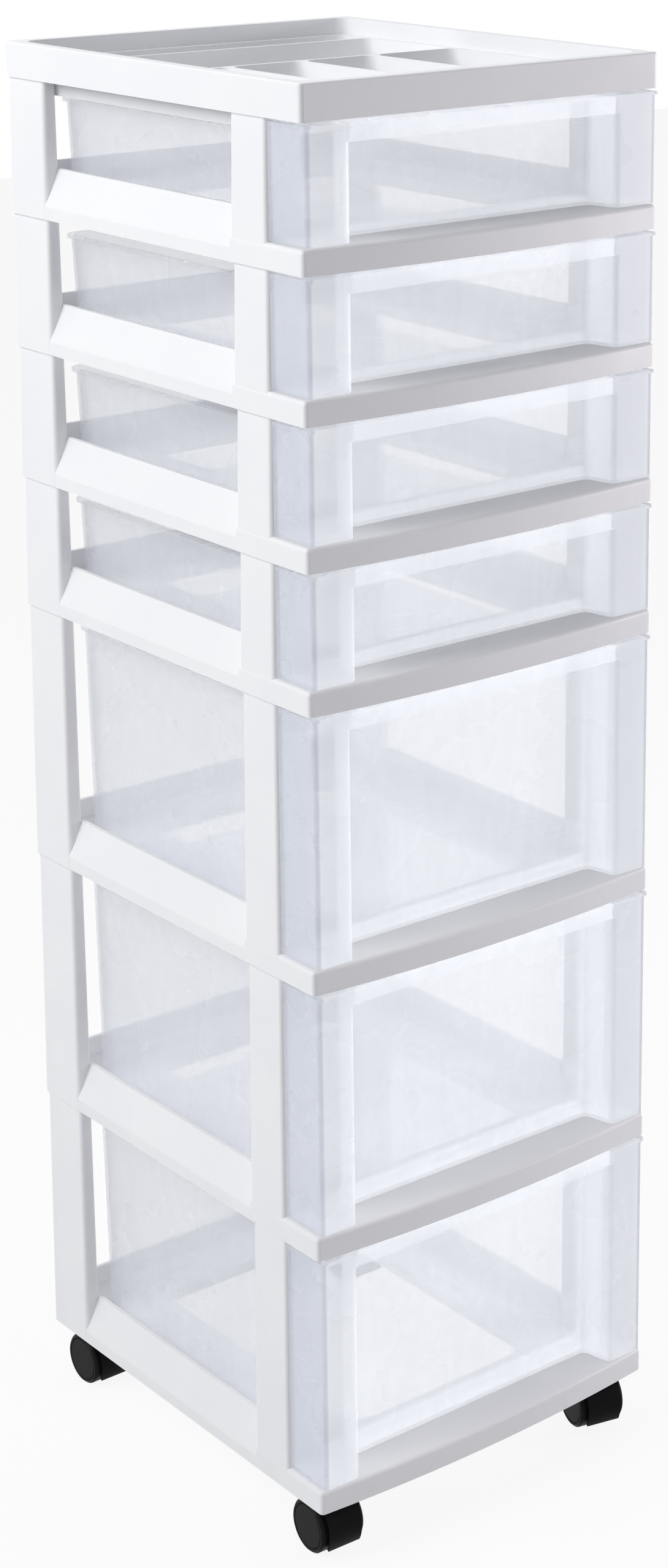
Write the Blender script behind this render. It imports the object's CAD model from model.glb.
"""Rolling drawer tower, dressed: milky drawers in white frames, an organizer tray and black casters."""

import logging
import math
from dataclasses import dataclass, field
from enum import Enum

import bpy
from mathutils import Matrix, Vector


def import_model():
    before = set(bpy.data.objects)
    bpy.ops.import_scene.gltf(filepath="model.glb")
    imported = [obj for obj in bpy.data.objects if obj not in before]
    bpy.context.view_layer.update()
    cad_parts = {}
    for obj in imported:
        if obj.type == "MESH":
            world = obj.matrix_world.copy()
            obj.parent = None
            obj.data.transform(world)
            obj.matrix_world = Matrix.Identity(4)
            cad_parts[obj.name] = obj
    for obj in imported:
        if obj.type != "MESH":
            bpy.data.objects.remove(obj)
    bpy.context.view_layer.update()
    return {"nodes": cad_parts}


LOG = logging.getLogger("drawer_tower")
RGB = tuple[float, float, float]
TIERS = 7


class Place(Enum):
    """Caster corners of the tower."""

    FRONT_LEFT = "front_left"
    FRONT_RIGHT = "front_right"
    REAR_LEFT = "rear_left"
    REAR_RIGHT = "rear_right"


class Tier(Enum):
    """Heights of tier; the value is the last number of that kind, counted from the top."""

    SHALLOW = 4
    DEEP = TIERS

    @classmethod
    def of(cls, number: int) -> "Tier":
        """Kind of the tier with that number.

        Args:
            number: Tier counted from the top, from 1.

        Returns:
            The kind of tier.
        """
        return cls.SHALLOW if number <= cls.SHALLOW.value else cls.DEEP


def new_group(name: str, inputs: dict[str, float], outputs: list[str]) -> bpy.types.ShaderNodeTree:
    """Start a shader node group with named sockets.

    Args:
        name: Name of the group.
        inputs: Input names with their default values.
        outputs: Output names, each a number.

    Returns:
        The group, holding one input and one output node.
    """
    group = bpy.data.node_groups.new(name, "ShaderNodeTree")
    for label, value in inputs.items():
        socket = group.interface.new_socket(label, in_out="INPUT", socket_type="NodeSocketFloat")
        socket.default_value = value
    for label in outputs:
        group.interface.new_socket(label, in_out="OUTPUT", socket_type="NodeSocketFloat")
    group.nodes.new("NodeGroupInput")
    group.nodes.new("NodeGroupOutput")
    return group


class Wiring:
    """Short calls for building one node tree."""

    def __init__(self, tree: bpy.types.NodeTree) -> None:
        """Keep the tree.

        Args:
            tree: Node tree to build in.
        """
        self.tree = tree

    def node(self, kind: str, **values: object) -> bpy.types.Node:
        """Add a node and set its properties.

        Args:
            kind: Node type without the ShaderNode prefix.
            values: Properties to set on the node.

        Returns:
            The new node.
        """
        made = self.tree.nodes.new("ShaderNode" + kind)
        for key, value in values.items():
            setattr(made, key, value)
        return made

    def put(self, value: object, socket: bpy.types.NodeSocket) -> None:
        """Feed a socket.

        Args:
            value: Output socket to link, or a number, vector or colour to set.
            socket: Input socket to feed.
        """
        if isinstance(value, bpy.types.NodeSocket):
            self.tree.links.new(value, socket)
        else:
            socket.default_value = (*value, 1.0) if socket.type == "RGBA" else value

    def group(self, tree: bpy.types.ShaderNodeTree, **values: float) -> bpy.types.Node:
        """Add a node for a group.

        Args:
            tree: The group.
            values: Values of its inputs.

        Returns:
            The group node.
        """
        made = self.node("Group", node_tree=tree)
        for label, value in values.items():
            self.put(value, made.inputs[label])
        return made

    def math(self, operation: str, first: object, second: object,
             clamp: bool = False) -> bpy.types.NodeSocket:
        """Add a math node on sockets or numbers.

        Args:
            operation: Name of the operation.
            first: Socket or number.
            second: Socket or number.
            clamp: Whether the result is kept from 0 to 1.

        Returns:
            The node's output.
        """
        made = self.node("Math", operation=operation, use_clamp=clamp)
        self.put(first, made.inputs[0])
        self.put(second, made.inputs[1])
        return made.outputs[0]

    def ramp(self, value: bpy.types.NodeSocket, low: float, high: float,
             to_low: float = 0.0, to_high: float = 1.0) -> bpy.types.NodeSocket:
        """Map a value smoothly from one span to another.

        Args:
            value: Socket with the value.
            low: Value that gives to_low.
            high: Value that gives to_high.
            to_low: Result at low.
            to_high: Result at high.

        Returns:
            The mapped value.
        """
        made = self.node("MapRange", interpolation_type="SMOOTHSTEP")
        spans = {"Value": value, "From Min": low, "From Max": high, "To Min": to_low, "To Max": to_high}
        for label, entry in spans.items():
            self.put(entry, made.inputs[label])
        return made.outputs["Result"]

    def mix(self, factor: object, first: object, second: object) -> bpy.types.NodeSocket:
        """Mix two colours.

        Args:
            factor: Socket or number.
            first: Colour socket or value where the factor is 0.
            second: Colour socket or value where the factor is 1.

        Returns:
            The mixed colour.
        """
        made = self.node("Mix", data_type="RGBA")
        colours = [socket for socket in made.inputs if socket.type == "RGBA"]
        self.put(factor, made.inputs["Factor"])
        self.put(first, colours[0])
        self.put(second, colours[1])
        return next(socket for socket in made.outputs if socket.type == "RGBA")

    def noise(self, point: bpy.types.NodeSocket, scale: object, detail: float,
              distortion: float = 0.0) -> bpy.types.NodeSocket:
        """Add a noise texture.

        Args:
            point: Where the noise is read.
            scale: Socket or number.
            detail: Octaves of the noise.
            distortion: How much it is warped.

        Returns:
            The noise as a number about 0.5.
        """
        made = self.node("TexNoise")
        values = {"Vector": point, "Scale": scale, "Detail": detail, "Distortion": distortion}
        for label, value in values.items():
            self.put(value, made.inputs[label])
        return made.outputs["Fac"]

    def stretched(self, scale: RGB, turn: RGB = (0.0, 0.0, 0.0)) -> bpy.types.NodeSocket:
        """Point in the tower's frame, stretched and turned.

        Args:
            scale: Stretch along each axis.
            turn: Angles about each axis, in radians.

        Returns:
            The stretched point.
        """
        made = self.node("Mapping")
        for label, value in {"Vector": self.point(), "Scale": scale, "Rotation": turn}.items():
            self.put(value, made.inputs[label])
        return made.outputs["Vector"]

    def point(self) -> bpy.types.NodeSocket:
        """Return the shaded point in the tower's own frame."""
        return self.node("TexCoord").outputs["Object"]

    def axes(self, source: bpy.types.NodeSocket) -> bpy.types.bpy_prop_collection:
        """Split a vector.

        Args:
            source: The vector.

        Returns:
            Its X, Y and Z outputs.
        """
        made = self.node("SeparateXYZ")
        self.put(source, made.inputs["Vector"])
        return made.outputs


class Effects:
    """Shader node groups that the finishes share; each puts out plain numbers."""

    def __init__(self) -> None:
        """Build each group once."""
        self.grain = self._grain()
        self.flow = self._flow()
        self.handling = self._handling()

    @staticmethod
    def _grain() -> bpy.types.ShaderNodeTree:
        """Return the fine grain of a mould, as a height, and a broad variation."""
        group = new_group("moulded_grain", {"Size": 0.8}, ["Height", "Variation"])
        wiring = Wiring(group)
        cells_per_metre = wiring.math("DIVIDE", 1000.0, group.nodes["Group Input"].outputs["Size"])
        height = wiring.noise(wiring.point(), cells_per_metre, detail=2.0)
        broad = wiring.noise(wiring.point(), scale=14.0, detail=3.0)
        out = group.nodes["Group Output"]
        wiring.put(height, out.inputs["Height"])
        wiring.put(wiring.ramp(broad, 0.3, 0.7), out.inputs["Variation"])
        return group

    @staticmethod
    def _flow() -> bpy.types.ShaderNodeTree:
        """Return the faint streaks where the melt ran through a clear wall, as a mask."""
        group = new_group("flow_streaks", {"Amount": 1.0}, ["Mask"])
        wiring = Wiring(group)
        streaks = wiring.noise(wiring.stretched((9.0, 9.0, 2.0)), scale=6.0, detail=3.0, distortion=0.6)
        mask = wiring.ramp(streaks, 0.35, 0.7)
        amount = wiring.math("MULTIPLY", mask, group.nodes["Group Input"].outputs["Amount"])
        wiring.put(amount, group.nodes["Group Output"].inputs["Mask"])
        return group

    @staticmethod
    def _handling() -> bpy.types.ShaderNodeTree:
        """Return the haze from handling, fine short scuffs in soft patches, as a mask."""
        group = new_group("handling_haze", {"Scuffs": 0.5}, ["Mask"])
        wiring = Wiring(group)
        lines = wiring.noise(wiring.stretched((40.0, 160.0, 620.0), (0.4, 0.2, 0.6)), scale=1.0, detail=2.0)
        patches = wiring.noise(wiring.point(), scale=11.0, detail=2.0)
        both = wiring.math("MULTIPLY", wiring.ramp(lines, 0.6, 0.72), wiring.ramp(patches, 0.42, 0.62))
        scaled = wiring.math("MULTIPLY", both, group.nodes["Group Input"].outputs["Scuffs"])
        wiring.put(scaled, group.nodes["Group Output"].inputs["Mask"])
        return group


@dataclass(frozen=True)
class Finish:
    """A moulded or metal finish that every piece of that kind shares.

    Grain sizes are in millimetres and the bump's distance in metres.
    """

    name: str
    colour: RGB
    second_colour: RGB
    roughness: float
    rough_spread: float
    grain_size: float
    bump: float
    scuffs: float = 0.4
    metallic: float = 0.0
    ior: float = 1.49
    specular: float = 0.5
    bump_distance: float = 0.0002
    scuff_roughness: float = 0.2

    def material(self, effects: Effects) -> bpy.types.Material:
        """Build the finish's material.

        Args:
            effects: Shared node groups.

        Returns:
            The material.
        """
        made = bpy.data.materials.new(self.name)
        made.use_nodes = True
        wiring = Wiring(made.node_tree)
        shader = made.node_tree.nodes["Principled BSDF"]
        grain = wiring.group(effects.grain, Size=self.grain_size).outputs
        haze = wiring.group(effects.handling, Scuffs=self.scuffs).outputs["Mask"]
        spread = wiring.ramp(grain["Variation"], 0.0, 1.0,
                             self.roughness - self.rough_spread, self.roughness + self.rough_spread)
        scuffed = wiring.math("MULTIPLY", haze, self.scuff_roughness)
        bump = wiring.node("Bump")
        bump_values = {"Strength": self.bump, "Distance": self.bump_distance, "Height": grain["Height"]}
        for label, value in bump_values.items():
            wiring.put(value, bump.inputs[label])
        values = {"Metallic": self.metallic, "IOR": self.ior, "Specular IOR Level": self.specular,
                  "Base Color": wiring.mix(grain["Variation"], self.colour, self.second_colour),
                  "Roughness": wiring.math("ADD", spread, scuffed, clamp=True),
                  "Normal": bump.outputs["Normal"]}
        for label, value in values.items():
            wiring.put(value, shader.inputs[label])
        self.adapt(wiring, shader, effects)
        return made

    def adapt(self, wiring: Wiring, shader: bpy.types.Node, effects: Effects) -> None:
        """Hook for what a kind of finish adds; an opaque one adds nothing.

        Args:
            wiring: Node calls for this material.
            shader: The material's Principled BSDF.
            effects: Shared node groups.
        """


@dataclass(frozen=True)
class MilkyFinish(Finish):
    """Clear polypropylene: see-through walls, with frosted wings on the drawer heads.

    A wall lets through less of a straight look than of the light behind it, so its alpha falls by
    the onward share where a ray only carries light. What it scatters inside is a short subsurface
    spread, with a faint glow for the light piped along the wall, strongest in the front windows.
    The zones are told apart by place: wing_edge, head_side and head_back are metres in the tower's
    frame, and each blur is how far a zone fades out.
    """

    wall_alpha: float = 0.31
    frost_alpha: float = 0.52
    onward: float = 0.92
    spread: float = 0.01
    glow: float = 0.1
    window_glow: float = 0.5
    wing_glow: float = 0.26
    glow_colour: RGB = (0.94, 0.955, 1.0)
    side_colour: RGB = (0.47, 0.50, 0.57)
    streaks: float = 0.012
    wing_edge: float = 0.1145
    wing_blur: float = 0.0015
    head_side: float = 0.1485
    side_blur: float = 0.003
    head_back: float = -0.133
    back_blur: float = 0.004

    def adapt(self, wiring: Wiring, shader: bpy.types.Node, effects: Effects) -> None:
        """Drive alpha, glow and colour from the head's zones.

        Args:
            wiring: Node calls for this material.
            shader: The material's Principled BSDF.
            effects: Shared node groups.
        """
        axes = wiring.axes(wiring.point())
        out = wiring.math("ABSOLUTE", axes["X"], 0.0)
        wing = wiring.ramp(out, self.wing_edge - self.wing_blur, self.wing_edge + self.wing_blur)
        head = wiring.ramp(axes["Y"], self.head_back + self.back_blur, self.head_back)
        frost = wiring.math("MULTIPLY", wing, head)
        inside = wiring.ramp(out, self.head_side, self.head_side - self.side_blur)
        faced = wiring.math("MULTIPLY", frost, inside)
        window = wiring.math("SUBTRACT", head, frost)
        outer = wiring.math("SUBTRACT", frost, faced)
        plain = shader.inputs["Base Color"].links[0].from_socket
        values = {"Alpha": self.opacity(wiring, effects, frost),
                  "Emission Strength": self.piped_light(wiring, window, faced),
                  "Emission Color": self.glow_colour,
                  "Base Color": wiring.mix(outer, plain, self.side_colour),
                  "Subsurface Weight": 1.0, "Subsurface Radius": (1.0, 1.0, 1.0),
                  "Subsurface Scale": self.spread}
        for label, value in values.items():
            wiring.put(value, shader.inputs[label])

    def opacity(self, wiring: Wiring, effects: Effects, frost: bpy.types.NodeSocket) -> bpy.types.NodeSocket:
        """Alpha of the walls and the frosted wings, by the kind of ray.

        Args:
            wiring: Node calls for this material.
            effects: Shared node groups.
            frost: Mask of the frosted wings.

        Returns:
            The alpha.
        """
        streaks = wiring.group(effects.flow, Amount=self.streaks).outputs["Mask"]
        wall = wiring.math("ADD", streaks, self.wall_alpha)
        gain = wiring.math("MULTIPLY", frost, self.frost_alpha - self.wall_alpha)
        alpha = wiring.math("ADD", wall, gain, clamp=True)
        path = wiring.node("LightPath").outputs
        carrying = wiring.math("MAXIMUM", path["Is Shadow Ray"], path["Is Diffuse Ray"])
        kept = wiring.math("ADD", wiring.math("MULTIPLY", carrying, -self.onward), 1.0)
        return wiring.math("MULTIPLY", alpha, kept)

    def piped_light(self, wiring: Wiring, window: bpy.types.NodeSocket,
                    faced: bpy.types.NodeSocket) -> bpy.types.NodeSocket:
        """Strength of the glow.

        Args:
            wiring: Node calls for this material.
            window: Mask of the head between its wings.
            faced: Mask of the wings, apart from their outer sides.

        Returns:
            The strength.
        """
        windows = wiring.math("MULTIPLY", window, self.window_glow - self.glow)
        wings = wiring.math("MULTIPLY", faced, self.wing_glow - self.glow)
        return wiring.math("ADD", wiring.math("ADD", windows, wings), self.glow)


WHITE = Finish("white_polypropylene", (0.86, 0.87, 0.885), (0.84, 0.85, 0.87),
               roughness=0.42, rough_spread=0.04, grain_size=0.7, bump=0.05)
MILKY = {
    tier: MilkyFinish(f"milky_polypropylene_{tier.name.lower()}", (0.66, 0.685, 0.74), (0.64, 0.67, 0.73),
                      roughness=0.28, rough_spread=0.04, grain_size=0.9, bump=0.03, scuffs=0.3,
                      wing_edge=edge)
    for tier, edge in ((Tier.SHALLOW, 0.1145), (Tier.DEEP, 0.1195))}
BLACK = Finish("black_nylon", (0.006, 0.006, 0.007), (0.008, 0.008, 0.009),
               roughness=0.45, rough_spread=0.05, grain_size=0.6, bump=0.08, specular=0.05)
TREAD = Finish("black_nylon_wheel", (0.007, 0.007, 0.008), (0.010, 0.010, 0.011),
               roughness=0.4, rough_spread=0.06, grain_size=0.6, bump=0.06, scuffs=0.8, specular=0.06)
STEEL = Finish("drawn_steel", (0.55, 0.55, 0.57), (0.48, 0.48, 0.5),
               roughness=0.32, rough_spread=0.05, grain_size=0.4, bump=0.05, metallic=1.0)


class Wardrobe:
    """Materials of the tower, each built once."""

    def __init__(self, effects: Effects) -> None:
        """Keep the shared groups.

        Args:
            effects: Shared node groups.
        """
        self.effects = effects
        self.made: dict[str, bpy.types.Material] = {}

    def material(self, finish: Finish) -> bpy.types.Material:
        """Material of a finish.

        Args:
            finish: The finish wanted.

        Returns:
            Its material, built on first use.
        """
        if finish.name not in self.made:
            self.made[finish.name] = finish.material(self.effects)
        return self.made[finish.name]

    def dress(self, piece: bpy.types.Object, finish: Finish) -> None:
        """Put a finish on a piece.

        Args:
            piece: Object to dress.
            finish: Finish to use.
        """
        piece.data.materials.clear()
        piece.data.materials.append(self.material(finish))
        LOG.info("dressed %s in %s", piece.name, finish.name)


@dataclass
class Frames:
    """The white tier frames and the organizer tray."""

    nodes: dict[str, bpy.types.Object]
    wardrobe: Wardrobe

    def dress(self) -> None:
        """Dress the tray and every tier frame."""
        for name in ["organizer_tray", *[f"tier_frame_{number}" for number in range(1, TIERS + 1)]]:
            self.wardrobe.dress(self.nodes[name], WHITE)


@dataclass
class Drawers:
    """The milky drawers."""

    nodes: dict[str, bpy.types.Object]
    wardrobe: Wardrobe

    def dress(self) -> None:
        """Dress every drawer in the finish of its height."""
        for number in range(1, TIERS + 1):
            self.wardrobe.dress(self.nodes[f"drawer_{number}"], MILKY[Tier.of(number)])


@dataclass
class Casters:
    """The four twin-wheel casters."""

    nodes: dict[str, bpy.types.Object]
    wardrobe: Wardrobe
    finishes: dict[str, Finish] = field(default_factory=lambda: {
        "stem": STEEL, "axle": STEEL, "housing": BLACK, "wheel_left": TREAD, "wheel_right": TREAD})

    def dress(self) -> None:
        """Dress the five pieces of each caster."""
        for place in Place:
            for kind, finish in self.finishes.items():
                self.wardrobe.dress(self.nodes[f"caster_{place.value}_{kind}"], finish)


@dataclass(frozen=True)
class Lamp:
    """One square soft lamp; places and sizes in metres, power in watts."""

    name: str
    place: RGB
    target: RGB
    size: float
    power: float
    colour: RGB

    def hang(self) -> None:
        """Put the lamp in the scene, facing its target."""
        data = bpy.data.lights.new(self.name, "AREA")
        data.shape = "SQUARE"
        data.size = self.size
        data.energy = self.power
        data.color = self.colour
        lamp = bpy.data.objects.new(self.name, data)
        lamp.location = self.place
        aim = Vector(self.target) - Vector(self.place)
        lamp.rotation_euler = aim.to_track_quat("-Z", "Y").to_euler()
        bpy.context.scene.collection.objects.link(lamp)


LAMPS = (
    Lamp("key_left", (-2.0, 0.3, 2.1), (0.0, 0.0, 0.65), 1.5, 38.0, (1.0, 0.99, 0.98)),
    Lamp("fill_right", (1.7, -1.0, 0.85), (0.05, 0.0, 0.6), 0.9, 20.0, (1.0, 0.94, 0.99)),
    Lamp("overhead", (0.5, 0.1, 2.4), (0.0, 0.0, 1.0), 1.4, 5.0, (1.0, 1.0, 1.0)),
)


@dataclass
class Studio:
    """Plain pale floor, white surround, soft lamps and the photograph's camera."""

    azimuth: float = -39.963
    elevation: float = 14.198
    camera_place: tuple[float, float, float] = (-1.25709, -1.67498, 1.26619)
    image: tuple[int, int] = (1090, 2560)
    focal_px: float = 4852.378
    centre_px: tuple[float, float] = (798.84, 802.40)
    sensor: float = 36.0
    far: float = 50.0
    floor_half: float = 6.0
    floor_colour: RGB = (0.8, 0.8, 0.8)
    floor_roughness: float = 0.95
    paper_white: float = 0.9
    ambient_colour: RGB = (0.95, 0.965, 1.0)
    ambient_front: float = 0.18
    ambient_back: float = 0.62
    ambient_turn: tuple[float, float] = (-0.5, 0.35)

    def camera(self) -> None:
        """Create the camera and make it the scene's own."""
        data = bpy.data.cameras.new("photo_camera")
        longer = max(self.image)
        data.sensor_width = self.sensor
        data.lens = self.sensor * self.focal_px / longer
        data.shift_x = (self.image[0] / 2 - self.centre_px[0]) / longer
        data.shift_y = (self.centre_px[1] - self.image[1] / 2) / longer
        data.clip_end = self.far
        camera = bpy.data.objects.new("photo_camera", data)
        camera.location = self.camera_place
        camera.rotation_euler = (math.radians(90.0 - self.elevation), 0.0, math.radians(self.azimuth))
        bpy.context.scene.collection.objects.link(camera)
        bpy.context.scene.camera = camera

    @staticmethod
    def shown(wiring: Wiring) -> bpy.types.NodeSocket:
        """Tell what the camera sees, directly, mirrored or through a clear wall.

        Args:
            wiring: Node calls for the material or world.

        Returns:
            1 for what is seen and 0 for what only gives light.
        """
        path = wiring.node("LightPath").outputs
        mirrored = wiring.math("MAXIMUM", path["Is Glossy Ray"], path["Is Transmission Ray"])
        return wiring.math("MAXIMUM", path["Is Camera Ray"], mirrored)

    def floor(self) -> None:
        """Lay the pale floor, white to the camera apart from the shadow."""
        mesh = bpy.data.meshes.new("floor")
        half = self.floor_half
        corners = [(-half, -half, 0.0), (half, -half, 0.0), (half, half, 0.0), (-half, half, 0.0)]
        mesh.from_pydata(corners, [], [(0, 1, 2, 3)])
        floor = bpy.data.objects.new("floor", mesh)
        bpy.context.scene.collection.objects.link(floor)
        material = bpy.data.materials.new("floor_white")
        material.use_nodes = True
        wiring = Wiring(material.node_tree)
        shader = material.node_tree.nodes["Principled BSDF"]
        wiring.put(self.floor_colour, shader.inputs["Base Color"])
        wiring.put(self.floor_roughness, shader.inputs["Roughness"])
        wiring.put(0.0, shader.inputs["Specular IOR Level"])
        mix = wiring.node("MixShader")
        wiring.put(wiring.math("MULTIPLY", self.shown(wiring), self.paper_white), mix.inputs[0])
        wiring.put(shader.outputs[0], mix.inputs[1])
        wiring.put(wiring.node("Emission").outputs[0], mix.inputs[2])
        wiring.put(mix.outputs[0], material.node_tree.nodes["Material Output"].inputs["Surface"])
        mesh.materials.append(material)

    def surround(self) -> None:
        """White world for the camera, softer light for everything else, strongest from behind."""
        world = bpy.data.worlds.new("studio")
        bpy.context.scene.world = world
        world.use_nodes = True
        world.node_tree.nodes.clear()
        wiring = Wiring(world.node_tree)
        ahead = wiring.axes(wiring.node("TexCoord").outputs["Generated"])["Y"]
        light = wiring.node("Background")
        wiring.put(self.ambient_colour, light.inputs["Color"])
        strength = wiring.ramp(ahead, *self.ambient_turn, self.ambient_front, self.ambient_back)
        wiring.put(strength, light.inputs["Strength"])
        white = wiring.node("Background")
        wiring.put((1.0, 1.0, 1.0), white.inputs["Color"])
        mix = wiring.node("MixShader")
        wiring.put(self.shown(wiring), mix.inputs[0])
        wiring.put(light.outputs[0], mix.inputs[1])
        wiring.put(white.outputs[0], mix.inputs[2])
        wiring.put(mix.outputs[0], wiring.node("OutputWorld").inputs["Surface"])

    def build(self) -> None:
        """Set up floor, surround, lamps and camera."""
        self.floor()
        self.surround()
        for lamp in LAMPS:
            lamp.hang()
        self.camera()


def main() -> None:
    """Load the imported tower, dress it and set up the studio."""
    logging.basicConfig(level=logging.INFO, format="%(name)s: %(message)s")
    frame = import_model()
    scene = bpy.context.scene
    scene.view_settings.view_transform = "Standard"
    scene.cycles.transparent_max_bounces = 32
    wardrobe = Wardrobe(Effects())
    for family in (Frames, Drawers, Casters):
        family(frame["nodes"], wardrobe).dress()
    Studio().build()


if __name__ == "__main__":
    main()
